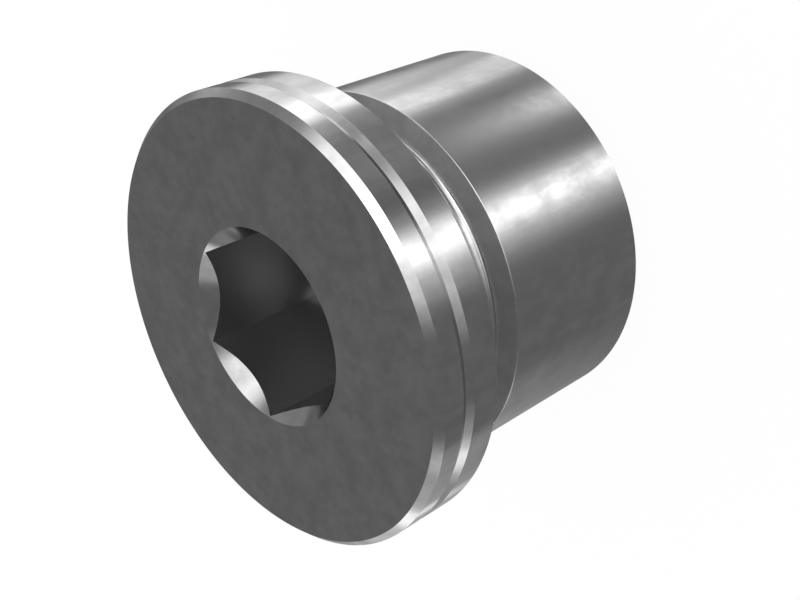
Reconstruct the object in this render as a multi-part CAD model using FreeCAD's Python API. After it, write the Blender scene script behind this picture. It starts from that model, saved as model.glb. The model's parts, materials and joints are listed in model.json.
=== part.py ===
"""Hexagon socket plug, turned from one piece of steel bar.

A flat round head with a fine groove round its rim, a recessed neck behind it and a thicker
smooth shank. The head is driven by a hexagon socket with a countersunk mouth and a drilled
bottom. The plug stands on the end of its shank: the origin is the middle of that end, +Z runs
up its axis to the face of the head, and two corners of the hexagon lie on the X axis.
All sizes are millimetres and degrees.
"""

import FreeCAD
import Part
import math
import os

# Head
head_diameter = 31.9
head_thickness = 5.0
face_chamfer = 0.5
rim_edge_break = 0.1

# Groove round the rim of the head
groove_from_face = 2.0
groove_width = 1.0
groove_depth = 0.29

# Neck between the head and the shank, with the shank's conical flank at its foot
neck_diameter = 23.5
neck_length = 4.85
neck_fillet = 0.25
neck_foot_fillet = 0.6
flank_angle = 15.0

# Shank
shank_diameter = 27.0
shank_length = 13.65
shoulder_edge_break = 0.07
lead_chamfer = 1.0

# Hexagon socket
socket_across_flats = 12.0
socket_depth = 10.0
mouth_margin = 0.07
mouth_angle = 90.0
drill_point_angle = 118.0

# Levels up the axis; the shoulder is the outer edge of the flank
shoulder_level = shank_length
seat_level = shoulder_level + neck_length
face_level = seat_level + head_thickness
socket_floor_level = face_level - socket_depth

# Radii that follow from the sizes above
head_radius = head_diameter / 2
neck_radius = neck_diameter / 2
shank_radius = shank_diameter / 2
flank_radius = shank_radius - shoulder_edge_break
flat_radius = socket_across_flats / 2
corner_radius = flat_radius / math.cos(math.pi / 6)
mouth_radius = corner_radius + mouth_margin

AXIS = FreeCAD.Vector(0, 0, 1)
CENTRE = FreeCAD.Vector(0, 0, 0)


def point(radius, level):
    """A point of the turned outline, in the XZ plane."""
    return FreeCAD.Vector(radius, 0, level)


def inside_fillet(before, corner, after, radius):
    """The round in an inside corner of the outline: its start, its end and its edge."""
    back = (before - corner).normalize()
    ahead = (after - corner).normalize()
    half_angle = back.getAngle(ahead) / 2
    reach = radius / math.tan(half_angle)
    centre = corner + (back + ahead).normalize() * (radius / math.sin(half_angle))
    middle = centre + (corner - centre).normalize() * radius
    start = corner + back * reach
    end = corner + ahead * reach
    return start, end, Part.Arc(start, middle, end).toShape()


def straight_runs(points):
    """The straight edges from each point to the next."""
    return [Part.LineSegment(a, b).toShape() for a, b in zip(points, points[1:])]


def shank_outline():
    """From the axis over the end face and the shank's side to the edge of its flank."""
    return straight_runs([
        point(0, 0),
        point(shank_radius - lead_chamfer, 0),
        point(shank_radius, lead_chamfer),
        point(shank_radius, shoulder_level - shoulder_edge_break),
        point(flank_radius, shoulder_level),
    ])


def neck_outline():
    """The shank's flank and the neck, with a fillet at its foot and one under the head."""
    flank_rise = (flank_radius - neck_radius) * math.tan(math.radians(flank_angle))
    flank_edge = point(flank_radius, shoulder_level)
    foot = point(neck_radius, shoulder_level + flank_rise)
    top = point(neck_radius, seat_level)
    seat_edge = point(head_radius, seat_level)
    foot_start, foot_end, foot_round = inside_fillet(flank_edge, foot, top, neck_foot_fillet)
    top_start, top_end, top_round = inside_fillet(foot, top, seat_edge, neck_fillet)
    flank = straight_runs([flank_edge, foot_start])
    side = straight_runs([foot_end, top_start])
    return flank + [foot_round] + side + [top_round]


def head_outline():
    """From the neck under the head, round the grooved rim and over the face to the axis."""
    groove_top = face_level - groove_from_face
    return straight_runs([
        point(neck_radius + neck_fillet, seat_level),
        point(head_radius - rim_edge_break, seat_level),
        point(head_radius, seat_level + rim_edge_break),
        point(head_radius, groove_top - groove_width),
        point(head_radius - groove_depth, groove_top - groove_width / 2),
        point(head_radius, groove_top),
        point(head_radius, face_level - face_chamfer),
        point(head_radius - face_chamfer, face_level),
        point(0, face_level),
    ])


def turned_blank():
    """The plug as it leaves the lathe, before the socket is made."""
    outline = shank_outline() + neck_outline() + head_outline()
    outline.append(Part.LineSegment(point(0, face_level), point(0, 0)).toShape())
    section = Part.Face(Part.Wire(outline))
    return section.revolve(CENTRE, AXIS, 360)


def hexagon_prism():
    """The six walls of the socket, from its floor to the face of the head."""
    corners = [FreeCAD.Vector(corner_radius * math.cos(k * math.pi / 3),
                              corner_radius * math.sin(k * math.pi / 3),
                              socket_floor_level) for k in range(6)]
    floor = Part.Face(Part.makePolygon(corners + corners[:1]))
    return floor.extrude(AXIS * socket_depth)


def drill_point():
    """The cone that the drill leaves under the hexagon."""
    depth = flat_radius / math.tan(math.radians(drill_point_angle / 2))
    tip = FreeCAD.Vector(0, 0, socket_floor_level - depth)
    return Part.makeCone(0, flat_radius, depth, tip, AXIS)


def mouth_cone():
    """The countersink, which cuts a scallop into each flat and just clears the corners."""
    depth = mouth_radius / math.tan(math.radians(mouth_angle / 2))
    tip = FreeCAD.Vector(0, 0, face_level - depth)
    return Part.makeCone(0, mouth_radius, depth, tip, AXIS)


def plug():
    """The finished plug."""
    socket = hexagon_prism().fuse([drill_point(), mouth_cone()])
    return turned_blank().cut(socket).removeSplitter()


os.makedirs("parts", exist_ok=True)
body = plug()
body.exportStep("parts/plug_body.step")
print("plug_body: solids %d, valid %s, volume %.1f mm3, height %.2f mm"
      % (len(body.Solids), body.isValid(), body.Volume, body.BoundBox.ZLength))
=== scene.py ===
"""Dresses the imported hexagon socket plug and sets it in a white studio.

The plug stands on the end of its shank, as it does in the frame, with its axis on Z. Its shape is
turned again here from the frame's own sizes, with many more facets than the solid has and with
the fine rounds that a cutting tool leaves on real edges, and it gets a finish of fine-turned,
lightly polished bare steel. Lengths are named in millimetres and built in metres.
"""

from __future__ import annotations

import json
import logging
import math
from dataclasses import dataclass
from enum import Enum
from typing import Any, Sequence

import bpy
from mathutils import Matrix, Vector

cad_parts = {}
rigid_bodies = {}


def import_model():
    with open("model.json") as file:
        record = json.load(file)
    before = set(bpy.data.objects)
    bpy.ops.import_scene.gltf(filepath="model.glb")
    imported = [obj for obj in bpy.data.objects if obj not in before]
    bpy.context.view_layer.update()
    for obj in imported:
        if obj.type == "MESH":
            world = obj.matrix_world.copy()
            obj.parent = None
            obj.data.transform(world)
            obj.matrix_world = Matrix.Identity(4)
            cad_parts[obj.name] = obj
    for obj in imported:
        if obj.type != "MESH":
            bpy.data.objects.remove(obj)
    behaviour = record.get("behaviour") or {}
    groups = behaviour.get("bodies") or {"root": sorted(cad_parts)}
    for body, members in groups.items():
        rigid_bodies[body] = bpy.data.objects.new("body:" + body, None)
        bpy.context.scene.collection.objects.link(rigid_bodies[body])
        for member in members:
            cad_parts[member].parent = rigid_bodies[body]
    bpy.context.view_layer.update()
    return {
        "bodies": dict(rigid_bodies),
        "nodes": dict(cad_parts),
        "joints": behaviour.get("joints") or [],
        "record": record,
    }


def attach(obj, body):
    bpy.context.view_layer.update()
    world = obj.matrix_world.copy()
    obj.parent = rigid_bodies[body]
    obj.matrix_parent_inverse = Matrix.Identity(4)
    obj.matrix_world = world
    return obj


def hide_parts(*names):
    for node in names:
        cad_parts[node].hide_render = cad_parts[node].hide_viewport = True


LOG = logging.getLogger("plug")
MM = 0.001
NODE = "plug_body"
BODY = "root"


class MixColour:
    """Numbers of the sockets of a Mix node that mixes two colours."""

    FACTOR = 0
    FIRST = 6
    SECOND = 7
    RESULT = 2


class Texture(Enum):
    """Where a noise is read, by how it is stretched along the plug's X, Y and Z."""

    CLOUDS = (1.0, 1.0, 1.0)
    WISPS = (1.0, 1.0, 0.28)


class Sock:
    """A number in a node tree, on which Python arithmetic adds Math nodes."""

    def __init__(self, graph: Graph, socket: bpy.types.NodeSocket) -> None:
        """Keeps the tree and the output socket that carries the number."""
        self.graph = graph
        self.socket = socket

    def math(self, operation: str, *values: Sock | float) -> Sock:
        """One Math node.

        Args:
            operation: The node's operation, such as MULTIPLY.
            values: Its inputs in order.

        Returns:
            The node's result.
        """
        links = {index: value for index, value in enumerate(values)}
        return self.graph.add("ShaderNodeMath", {"operation": operation}, links).out()

    def __add__(self, other: Sock | float) -> Sock:
        """Sum."""
        return self.math("ADD", self, other)

    def __radd__(self, other: float) -> Sock:
        """Sum, with the number on the left."""
        return self.math("ADD", other, self)

    def __sub__(self, other: Sock | float) -> Sock:
        """Difference."""
        return self.math("SUBTRACT", self, other)

    def __rsub__(self, other: float) -> Sock:
        """Difference, with the number on the left."""
        return self.math("SUBTRACT", other, self)

    def __mul__(self, other: Sock | float) -> Sock:
        """Product."""
        return self.math("MULTIPLY", self, other)

    def __rmul__(self, other: float) -> Sock:
        """Product, with the number on the left."""
        return self.math("MULTIPLY", other, self)

    def __truediv__(self, other: Sock | float) -> Sock:
        """Quotient."""
        return self.math("DIVIDE", self, other)

    def root(self) -> Sock:
        """Square root."""
        return self.math("SQRT", self)

    def step(self, low: float, high: float) -> Sock:
        """Rises smoothly from 0 to 1 between two values.

        Args:
            low: Where the result leaves 0.
            high: Where it reaches 1.

        Returns:
            The smooth step.
        """
        settings = {"interpolation_type": "SMOOTHSTEP", "clamp": True}
        links = {"Value": self, "From Min": low, "From Max": high}
        return self.graph.add("ShaderNodeMapRange", settings, links).out("Result")


class Made:
    """A node that was just added, whose outputs are read as numbers or linked as they are."""

    def __init__(self, graph: Graph, node: bpy.types.Node) -> None:
        """Keeps the tree and the node."""
        self.graph = graph
        self.node = node

    def out(self, name: str | int = 0) -> Sock:
        """One output of the node, by its name or number."""
        return Sock(self.graph, self.node.outputs[name])


class Graph:
    """A node tree that is written from Python."""

    def __init__(self, owner: bpy.types.Material | bpy.types.World) -> None:
        """Empties the owner's tree."""
        owner.use_nodes = True
        self.tree = owner.node_tree
        self.tree.nodes.clear()

    def add(
        self,
        kind: str,
        settings: dict[str, Any] | None = None,
        inputs: dict[str | int, Any] | None = None,
    ) -> Made:
        """Adds one node.

        Args:
            kind: The node's type, such as ShaderNodeBump.
            settings: Its properties, which are set first.
            inputs: A value, a Sock or a node's first output for each named or numbered input.

        Returns:
            The node.
        """
        node = self.tree.nodes.new(kind)
        for name, value in (settings or {}).items():
            setattr(node, name, value)
        for name, value in (inputs or {}).items():
            if isinstance(value, Made):
                value = value.out()
            if isinstance(value, Sock):
                self.tree.links.new(value.socket, node.inputs[name])
            else:
                node.inputs[name].default_value = value
        return Made(self, node)

    def light_path(self, *rays: str) -> Sock:
        """1 for rays of the named kinds, such as Is Camera Ray, and 0 for the others."""
        path = self.add("ShaderNodeLightPath")
        total = path.out(rays[0])
        for ray in rays[1:]:
            total = total.math("MAXIMUM", total, path.out(ray))
        return total


@dataclass(frozen=True)
class PlugSizes:
    """The plug's sizes in millimetres.

    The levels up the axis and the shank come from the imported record. The fields with a value are
    sizes that it doesn't give: they are the solid's own, but for the rounds of the rim's rear edge
    and of the shoulder, which stand for the solid's edge breaks, and the tool's round.
    """

    face_level: float
    seat_level: float
    shank_radius: float
    shank_side_low: float
    shank_side_high: float
    head_diameter: float = 31.9
    face_chamfer: float = 0.5
    rim_edge_round: float = 0.03
    groove_from_face: float = 2.0
    groove_width: float = 1.0
    groove_depth: float = 0.29
    neck_diameter: float = 23.5
    neck_fillet: float = 0.25
    neck_foot_fillet: float = 0.6
    flank_angle: float = 15.0
    shoulder_edge_break: float = 0.07
    shoulder_edge_round: float = 0.09
    socket_across_flats: float = 12.0
    socket_depth: float = 10.0
    mouth_margin: float = 0.07
    mouth_angle: float = 90.0
    drill_point_angle: float = 118.0
    tool_round: float = 0.02

    @classmethod
    def from_frame(cls, frame: dict[str, Any]) -> PlugSizes:
        """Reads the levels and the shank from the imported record's mounts.


        Returns:
            The sizes.
        """
        mounts = {mount["name"]: mount for mount in frame["record"]["mounts"]}
        shank = mounts["shank"]
        middle = shank["pos_m"][2] / MM
        half = shank["dims"]["length_mm"] / 2
        return cls(
            face_level=mounts["head_face"]["pos_m"][2] / MM,
            seat_level=mounts["seat_face"]["pos_m"][2] / MM,
            shank_radius=shank["dims"]["r_mm"],
            shank_side_low=middle - half,
            shank_side_high=middle + half,
        )

    @property
    def head_radius(self) -> float:
        """Outer radius of the head."""
        return self.head_diameter / 2

    @property
    def neck_radius(self) -> float:
        """Radius of the neck."""
        return self.neck_diameter / 2

    @property
    def shoulder_level(self) -> float:
        """Level of the shoulder, the outer edge of the shank's conical flank."""
        return self.shank_side_high + self.shoulder_edge_break

    def flank_level(self, radius: float) -> float:
        """Level of the shank's conical flank.

        Args:
            radius: Distance from the axis, in millimetres.

        Returns:
            The level in millimetres, at the shoulder for the radius of the shoulder.
        """
        run = self.shank_radius - self.shoulder_edge_break - radius
        return self.shoulder_level + run * math.tan(math.radians(self.flank_angle))

    @property
    def foot_edge_radius(self) -> float:
        """Radius at which the flank runs into the fillet at the foot of the neck."""
        slope = math.radians(self.flank_angle)
        reach = self.neck_foot_fillet * math.tan((math.pi / 2 - slope) / 2)
        return self.neck_radius + reach * math.cos(slope)

    @property
    def flat_radius(self) -> float:
        """Distance from the axis to a flat of the hexagon."""
        return self.socket_across_flats / 2

    @property
    def corner_radius(self) -> float:
        """Distance from the axis to a corner of the hexagon."""
        return self.flat_radius / math.cos(math.pi / 6)

    @property
    def mouth_radius(self) -> float:
        """Radius of the countersink in the face."""
        return self.corner_radius + self.mouth_margin

    def hexagon_radius(self, angle: float) -> float:
        """Distance from the axis to the socket's wall.

        Args:
            angle: Direction round the axis, in radians, with corners every 60 degrees from 0.

        Returns:
            The distance in millimetres.
        """
        sixth = math.pi / 3
        from_flat = (angle % sixth) - sixth / 2
        return self.flat_radius / math.cos(from_flat)


@dataclass(frozen=True)
class Corner:
    """A corner of a turned outline, with the radius that rounds it."""

    radius: float
    level: float
    rounding: float = 0.0


class Outline:
    """A turned outline: corners joined by straight runs, each corner rounded by an arc.

    Arcs are drawn in steps of ARC_STEP or less. Past each end of an arc lies one more point on the
    straight run, at SUPPORT times the arc's reach from the corner.
    """

    ARC_STEP = math.radians(12)
    SUPPORT = 1.2

    def __init__(self, corners: Sequence[Corner]) -> None:
        """Keeps the corners, from the first to the last point of the outline."""
        self.corners = corners

    def points(self) -> list[tuple[float, float]]:
        """The outline as points of radius and level, with the rounds drawn out."""
        places = [Vector((c.radius, c.level)) for c in self.corners]
        drawn = [places[0]]
        for before, corner, place, after in zip(places, self.corners[1:], places[1:], places[2:]):
            drawn += self._turn(before, place, after, corner.rounding)
        drawn.append(places[-1])
        return [(p.x, p.y) for p in drawn]

    def _turn(self, before: Vector, place: Vector, after: Vector, rounding: float) -> list[Vector]:
        """The points that take the outline round one corner.

        Args:
            before: The corner before it.
            place: The corner itself.
            after: The corner after it.
            rounding: Radius of the arc, or 0 for a sharp corner.

        Returns:
            The arc's points, with one more on each run to keep its shading flat.
        """
        if rounding <= 0:
            return [place]
        back = (before - place).normalized()
        ahead = (after - place).normalized()
        bend = math.pi - back.angle(ahead)
        reach = rounding * math.tan(bend / 2)
        middle = (back + ahead).normalized()
        centre = place + middle * (rounding / math.cos(bend / 2))
        start = place + back * reach
        steps = max(2, math.ceil(bend / self.ARC_STEP))
        arm = start - centre
        turn = 1.0 if back.x * ahead.y - back.y * ahead.x < 0 else -1.0
        arc = [centre + Matrix.Rotation(turn * bend * k / steps, 2) @ arm for k in range(steps + 1)]
        supports = place + back * reach * self.SUPPORT, place + ahead * reach * self.SUPPORT
        return [supports[0], *arc, supports[1]]


@dataclass(frozen=True)
class PlugBody:
    """The one-piece plug: head, neck, shank and hexagon socket."""

    sizes: PlugSizes
    columns: int = 360
    sharp_over: float = math.radians(22)

    def outside(self) -> list[tuple[float, float]]:
        """The turned outline, from the middle of the end face to the edge of the mouth."""
        s = self.sizes
        groove_top = s.face_level - s.groove_from_face
        tool = s.tool_round
        lead = s.shank_side_low
        corners = [
            Corner(0, 0),
            Corner(s.shank_radius - lead, 0, tool),
            Corner(s.shank_radius, lead, tool),
            Corner(s.shank_radius, s.flank_level(s.shank_radius), s.shoulder_edge_round),
            Corner(s.neck_radius, s.flank_level(s.neck_radius), s.neck_foot_fillet),
            Corner(s.neck_radius, s.seat_level, s.neck_fillet),
            Corner(s.head_radius, s.seat_level, s.rim_edge_round),
            Corner(s.head_radius, groove_top - s.groove_width, tool),
            Corner(s.head_radius - s.groove_depth, groove_top - s.groove_width / 2, tool),
            Corner(s.head_radius, groove_top, tool),
            Corner(s.head_radius, s.face_level - s.face_chamfer, tool),
            Corner(s.head_radius - s.face_chamfer, s.face_level, tool),
            Corner(s.mouth_radius, s.face_level),
        ]
        return Outline(corners).points()

    def inside(self, angle: float) -> list[tuple[float, float]]:
        """The socket's section in one direction, from under the mouth's edge to the drill's tip.

        Args:
            angle: Direction round the axis, in radians.

        Returns:
            Points of radius and level.
        """
        s = self.sizes
        wall = s.hexagon_radius(angle)
        slope = math.tan(math.radians(s.mouth_angle / 2))
        floor = s.face_level - s.socket_depth
        tip = floor - s.flat_radius / math.tan(math.radians(s.drill_point_angle / 2))
        halfway = s.flat_radius / 2, (floor + tip) / 2
        return [
            (wall, s.face_level - (s.mouth_radius - wall) / slope),
            (wall, floor),
            (s.flat_radius, floor),
            halfway,
            (0.0, tip),
        ]

    def build(self) -> bpy.types.Object:
        """Makes the plug's mesh, column by column round the axis.

        Returns:
            The object, in metres, with sharp edges where the solid has them.
        """
        vertices: list[tuple[float, float, float]] = []
        columns: list[list[int]] = []
        outside = self.outside()
        poles: dict[float, int] = {}
        for k in range(self.columns):
            angle = math.tau * k / self.columns
            column = []
            for radius, level in outside + self.inside(angle):
                if radius == 0.0:
                    if level not in poles:
                        poles[level] = len(vertices)
                        vertices.append((0.0, 0.0, level * MM))
                    column.append(poles[level])
                    continue
                column.append(len(vertices))
                x, y = radius * math.cos(angle), radius * math.sin(angle)
                vertices.append((x * MM, y * MM, level * MM))
            columns.append(column)
        faces = []
        for here, there in zip(columns, columns[1:] + columns[:1]):
            for low, high in zip(range(len(here)), range(1, len(here))):
                face = [here[low], there[low], there[high], here[high]]
                faces.append(tuple(dict.fromkeys(face)))
        mesh = bpy.data.meshes.new("plug")
        mesh.from_pydata(vertices, [], faces)
        mesh.validate()
        mesh.shade_smooth()
        mesh.set_sharp_from_angle(angle=self.sharp_over)
        plug = bpy.data.objects.new("plug", mesh)
        bpy.context.scene.collection.objects.link(plug)
        return plug


@dataclass(frozen=True)
class Zones:
    """Where a point of the plug's surface lies: each zone is 1 on its surface and 0 elsewhere."""

    walls: Sock
    mouth: Sock
    shank: Sock
    flank: Sock


@dataclass(frozen=True)
class BareSteel:
    """Fine-turned, lightly polished bare steel, clouded by handling and a thin film of oil.

    The shank's flank, the countersink and the inside of the socket are as the tools left them; the
    socket's walls are also darker, partly their duller broached tone and partly painted shade for
    the dark inside of the socket.
    Lengths are in millimetres, and layers are how many finer noises lie over the largest.
    """

    sizes: PlugSizes
    colour: tuple[float, float, float] = (0.55, 0.55, 0.552)
    clouded: tuple[float, float, float] = (0.44, 0.44, 0.442)
    # Colour of the socket's walls: their duller broached tone, darkened further as painted shade for
    # the dark inside of the socket
    broached_with_painted_shade: tuple[float, float, float] = (0.48, 0.48, 0.482)
    roughness: float = 0.08
    roughness_spread: float = 0.065
    socket_roughness: float = 0.32
    mouth_roughness: float = 0.15
    flank_roughness: float = 0.5
    shank_wear: float = 0.7
    cloud_size: float = 2.0
    cloud_layers: float = 5.0
    cloud_share: float = 0.6
    wisp_size: float = 0.7
    wisp_layers: float = 4.0
    layer_strength: float = 0.55
    patches_from: float = 0.32
    patches_to: float = 0.68
    grain_pitch: float = 0.09
    grain_layers: float = 2.0
    dent_depth: float = 0.002
    grain_depth: float = 0.0004
    finish_blend: float = 0.03
    flank_reach: float = 0.21

    def noise(self, graph: Graph, place: Made, texture: Texture, size: float, layers: float) -> Sock:
        """A noise in the plug's own millimetres.

        Args:
            graph: The material's tree.
            place: The point on the plug, in millimetres.
            texture: How the noise is stretched.
            size: Size of its largest patches, in millimetres.
            layers: How many finer layers it has.

        Returns:
            A value round one half.
        """
        settings = {"operation": "MULTIPLY"}
        stretched = graph.add("ShaderNodeVectorMath", settings, {0: place, 1: texture.value})
        links = {
            "Vector": stretched,
            "Scale": 1 / size,
            "Detail": layers,
            "Roughness": self.layer_strength,
        }
        return graph.add("ShaderNodeTexNoise", {"noise_dimensions": "3D"}, links).out()

    def blend(self, graph: Graph, share: Sock, first: Any, second: Any) -> Sock:
        """Mixes two colours.

        Args:
            graph: The material's tree.
            share: Where the second colour shows: 0 for none of it, 1 for nothing else.
            first: A colour or the node output that carries it.
            second: The other one.

        Returns:
            The mixed colour.
        """
        links = {MixColour.FACTOR: share, MixColour.FIRST: first, MixColour.SECOND: second}
        return graph.add("ShaderNodeMix", {"data_type": "RGBA"}, links).out(MixColour.RESULT)

    def zones(self, radius: Sock, level: Sock) -> Zones:
        """Finds where a point of the surface lies.

        Args:
            radius: Distance from the axis, in millimetres.
            level: Level up the axis, in millimetres.

        Returns:
            The zones, each 1 on its own surface and 0 elsewhere.
        """
        s = self.sizes
        soft = self.finish_blend
        inside = 1 - radius.step(s.mouth_radius - soft, s.mouth_radius)
        depth = radius + s.face_level - level
        past_mouth = depth.step(s.mouth_radius + soft, s.mouth_radius + 2 * soft)
        below_head = 1 - level.step(s.seat_level - soft, s.seat_level)
        flank_from = s.foot_edge_radius - self.flank_reach
        past_foot = radius.step(flank_from, flank_from + 2 * soft)
        above_edge = level.step(s.shoulder_level - soft, s.shoulder_level)
        return Zones(
            walls=inside * past_mouth,
            mouth=inside * (1 - past_mouth),
            shank=below_head * (1 - inside),
            flank=below_head * past_foot * above_edge,
        )

    def finish(self, zones: Zones, polished: Sock) -> Sock:
        """Picks the roughness: polished outside, as the tools left it in a few places.

        Args:
            zones: Where the point lies.
            polished: Roughness of the polished head.

        Returns:
            The roughness, a little higher on the shank and much higher on its flank, on the
            countersink and on the socket's walls and floor.
        """
        as_cut = zones.walls + zones.mouth + zones.flank
        worn = polished * (zones.shank * self.shank_wear + 1) * (1 - as_cut)
        cut = zones.walls * self.socket_roughness + zones.mouth * self.mouth_roughness
        return worn + cut + zones.flank * self.flank_roughness

    def material(self) -> bpy.types.Material:
        """Makes the material.

        Returns:
            The steel, ready for a slot.
        """
        material = bpy.data.materials.new("bare_steel")
        graph = Graph(material)
        point = graph.add("ShaderNodeTexCoord")
        settings = {"operation": "MULTIPLY"}
        links = {0: point.out("Object"), 1: (1 / MM, 1 / MM, 1 / MM)}
        place = graph.add("ShaderNodeVectorMath", settings, links)
        clouds = self.noise(graph, place, Texture.CLOUDS, self.cloud_size, self.cloud_layers)
        wisps = self.noise(graph, place, Texture.WISPS, self.wisp_size, self.wisp_layers)
        mottle = clouds * self.cloud_share + wisps * (1 - self.cloud_share)
        axes = graph.add("ShaderNodeSeparateXYZ", None, {0: place})
        x, y, z = axes.out("X"), axes.out("Y"), axes.out("Z")
        from_axis = (x * x + y * y).root()
        turning = (from_axis + z) / self.grain_pitch
        grain = graph.add(
            "ShaderNodeTexNoise",
            {"noise_dimensions": "1D"},
            {"W": turning, "Scale": 1.0, "Detail": self.grain_layers},
        ).out()
        dent = graph.add(
            "ShaderNodeBump",
            None,
            {"Strength": 1.0, "Distance": self.dent_depth * MM, "Height": wisps},
        )
        lathe = graph.add(
            "ShaderNodeBump",
            None,
            {
                "Strength": 1.0,
                "Distance": self.grain_depth * MM,
                "Height": grain,
                "Normal": dent,
            },
        )
        patches = mottle.step(self.patches_from, self.patches_to)
        tint = self.blend(graph, patches, (*self.clouded, 1.0), (*self.colour, 1.0))
        zones = self.zones(from_axis, z)
        # The socket's walls take the darker colour, partly broached steel and partly painted shade
        # in the socket
        shade = self.blend(graph, zones.walls, tint, (*self.broached_with_painted_shade, 1.0))
        polished = (1 - patches) * self.roughness_spread + self.roughness
        rough = self.finish(zones, polished)
        shader = graph.add(
            "ShaderNodeBsdfPrincipled",
            None,
            {
                "Base Color": shade,
                "Metallic": 1.0,
                "Roughness": rough,
                "Normal": lathe,
            },
        )
        graph.add("ShaderNodeOutputMaterial", None, {"Surface": shader})
        return material


@dataclass(frozen=True)
class SoftBox:
    """A light panel far from the plug, by where it stands and what it gives.

    Angles are in degrees: heading is measured round Z from X, and height up from the horizon. The
    panel's middle moves round by lean degrees for each degree of height. Its light fades over the
    feather on both sides of each upright edge, and over the end feather at its foot and head.
    """

    heading: float
    half_width: float
    low: float
    high: float
    level: float
    feather: float
    lean: float = 0.0
    end_feather: float = 7.0

    def glow(self, heading: Sock, height: Sock) -> Sock:
        """The panel's light in the direction that a ray leaves by.

        Args:
            heading: The ray's heading, in radians.
            height: The ray's height, in radians.

        Returns:
            Its level there, 0 outside the panel.
        """
        offset = heading - math.radians(self.heading) - height * self.lean
        offset = offset.math("ABSOLUTE", offset.math("WRAP", offset, math.pi, -math.pi))
        inner = math.radians(self.half_width - self.feather)
        outer = math.radians(self.half_width + self.feather)
        foot = [math.radians(self.low + side * self.end_feather) for side in (-1, 1)]
        head = [math.radians(self.high + side * self.end_feather) for side in (-1, 1)]
        across = 1 - offset.step(inner, outer)
        upright = height.step(*foot) * (1 - height.step(*head))
        return across * upright * self.level


@dataclass(frozen=True)
class Viewpoint:
    """The camera of the photograph, from its place in millimetres and the way it is turned."""

    x: float = -70.512
    y: float = -6.750
    z: float = 68.426
    heading: float = 7.222
    downward: float = 38.472
    roll: float = -115.492
    lens: float = 57.004
    sensor_width: float = 36.0
    clip_from: float = 1.0

    def place(self) -> bpy.types.Object:
        """Makes the camera and gives it to the scene.

        Returns:
            The camera.
        """
        data = bpy.data.cameras.new("camera")
        data.sensor_width = self.sensor_width
        data.lens = self.lens
        data.clip_start = self.clip_from * MM
        heading, down = math.radians(self.heading), math.radians(self.downward)
        ahead = Vector((
            math.cos(heading) * math.cos(down),
            math.sin(heading) * math.cos(down),
            -math.sin(down),
        ))
        level = ahead.cross(Vector((0, 0, 1))).normalized()
        upward = level.cross(ahead)
        turn = math.radians(self.roll)
        right = level * math.cos(turn) + upward * math.sin(turn)
        up = upward * math.cos(turn) - level * math.sin(turn)
        camera = bpy.data.objects.new("camera", data)
        turned = Matrix((right, up, -ahead)).transposed().to_4x4()
        camera.matrix_world = Matrix.Translation(Vector((self.x, self.y, self.z)) * MM) @ turned
        bpy.context.scene.collection.objects.link(camera)
        bpy.context.scene.camera = camera
        return camera


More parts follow.
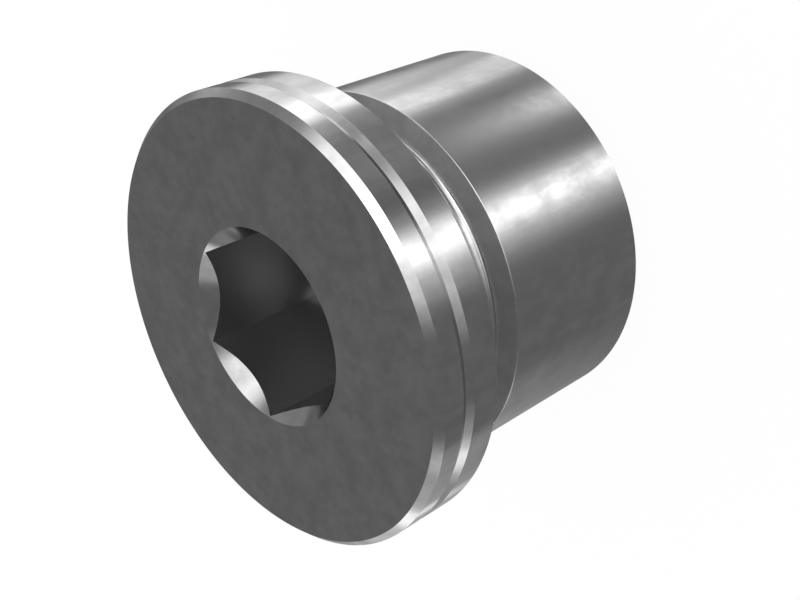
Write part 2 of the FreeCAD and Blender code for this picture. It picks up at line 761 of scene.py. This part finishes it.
@dataclass(frozen=True)
class Studio:
    """The white floor, the light round the plug and the camera."""

    view: Viewpoint = Viewpoint()
    floor_half_width: float = 4000.0
    floor_colour: float = 0.9
    floor_light: float = 1.1
    floor_shade: float = 0.04
    surroundings: float = 0.25
    studio_level: float = 0.8
    boxes: tuple[SoftBox, ...] = (
        # Tall lamp by the camera, which draws the bright streak down shank, neck and rim
        SoftBox(187, 2, -51, 30, level=3.3, feather=13, lean=-0.05),
        SoftBox(175, 8, -60, 21, level=1.8, feather=23, lean=-0.25),
        SoftBox(198, 5, -70, -46.5, level=0.6, feather=5, end_feather=2),
        # Wide bank over the camera, which whitens the chamfer round the face
        SoftBox(184, 52, 34, 55, level=2.4, feather=24, lean=0.75),
        SoftBox(202, 14, 0, 58, level=2.0, feather=13, lean=0.2),
        # Broad lamps on the -Y side, which draw the second, softer streak
        SoftBox(270, 21, -41, 9, level=1.7, feather=24, lean=-0.55),
        SoftBox(246, 9, -60, 14, level=1.0, feather=4, lean=-0.9),
        SoftBox(238, 8, -80, -50, level=4.2, feather=12, lean=-0.2),
        SoftBox(250, 17, -60, -24, level=0.15, feather=15, lean=0.25),
        SoftBox(263, 4, -60, -49, level=4.9, feather=3.5, lean=-0.85),
        # Weak fills behind the plug on the -Y side
        SoftBox(307, 10, -75, 10, level=0.4, feather=6, lean=-0.2),
        SoftBox(298, 32, -8, 58, level=0.2, feather=2, lean=-0.2),
        SoftBox(319, 6, -60, -27, level=0.2, feather=2, lean=1.0),
        # Lamps on the +Y side, which light the far edges and the inside of the countersink
        SoftBox(90, 2, -7, 26, level=2.7, feather=15, lean=0.1),
        SoftBox(73, 36, -41, 11, level=0.3, feather=6, lean=0.6),
        SoftBox(61, 5, 0, 28, level=1.2, feather=3),
        SoftBox(56, 10, -12, 52, level=0.5, feather=2, lean=0.7),
        SoftBox(35, 4, -34, -17, level=1.9, feather=2, lean=-0.2),
    )

    def light(self) -> None:
        """Lights the scene from the world: white to the camera, a studio to the steel."""
        world = bpy.data.worlds.new("studio")
        graph = Graph(world)
        ray = graph.add("ShaderNodeTexCoord")
        axes = graph.add("ShaderNodeSeparateXYZ", None, {0: ray.out("Generated")})
        height = axes.out("Z").math("ARCSINE", axes.out("Z"))
        heading = height.math("ARCTAN2", axes.out("Y"), axes.out("X"))
        studio = self.boxes[0].glow(heading, height) + self.surroundings
        for box in self.boxes[1:]:
            studio = studio + box.glow(heading, height)
        studio = studio * self.studio_level
        seen = graph.light_path("Is Camera Ray")
        mirrored = graph.light_path("Is Glossy Ray", "Is Transmission Ray")
        spread = 1 - seen.math("MAXIMUM", seen, mirrored)
        strength = seen + mirrored * (1 - seen) * studio + spread * self.floor_light
        links = {"Color": (1.0, 1.0, 1.0, 1.0), "Strength": strength}
        background = graph.add("ShaderNodeBackground", None, links)
        graph.add("ShaderNodeOutputWorld", None, {"Surface": background})
        world.cycles.sampling_method = "NONE"
        bpy.context.scene.world = world

    def floor(self) -> bpy.types.Object:
        """Lays the floor, white to the camera but for a faint share of the plug's shadow.

        Mirror rays pass it, so that the steel shows the studio.

        Returns:
            The floor.
        """
        half = self.floor_half_width * MM
        mesh = bpy.data.meshes.new("floor")
        square = [(-half, -half, 0), (half, -half, 0), (half, half, 0), (-half, half, 0)]
        mesh.from_pydata(square, [], [(0, 1, 2, 3)])
        floor = bpy.data.objects.new("floor", mesh)
        bpy.context.scene.collection.objects.link(floor)
        material = bpy.data.materials.new("floor_white")
        graph = Graph(material)
        shade = (self.floor_colour,) * 3 + (1.0,)
        diffuse = graph.add("ShaderNodeBsdfDiffuse", None, {"Color": shade})
        white = graph.add("ShaderNodeEmission", None, {"Strength": 1.0})
        seen = graph.light_path("Is Camera Ray", "Is Glossy Ray", "Is Transmission Ray")
        links = {0: seen * (1 - self.floor_shade), 1: diffuse, 2: white}
        mixed = graph.add("ShaderNodeMixShader", None, links)
        graph.add("ShaderNodeOutputMaterial", None, {"Surface": mixed})
        mesh.materials.append(material)
        floor.visible_glossy = False
        return floor

    def build(self) -> None:
        """Makes the floor, the light and the camera."""
        self.floor()
        self.light()
        self.view.place()
        bpy.context.scene.view_settings.view_transform = "Standard"


def main() -> None:
    """Loads the frame, builds the plug and the studio, and logs the plug's face count."""
    logging.basicConfig(level=logging.INFO, format="%(message)s")
    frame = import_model()
    sizes = PlugSizes.from_frame(frame)
    plug = PlugBody(sizes).build()
    plug.data.materials.append(BareSteel(sizes).material())
    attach(plug, BODY)
    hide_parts(NODE)
    LOG.info("plug: %d faces", len(plug.data.polygons))
    Studio().build()
    LOG.info("studio: floor, light and camera")


if __name__ == "__main__":
    main()
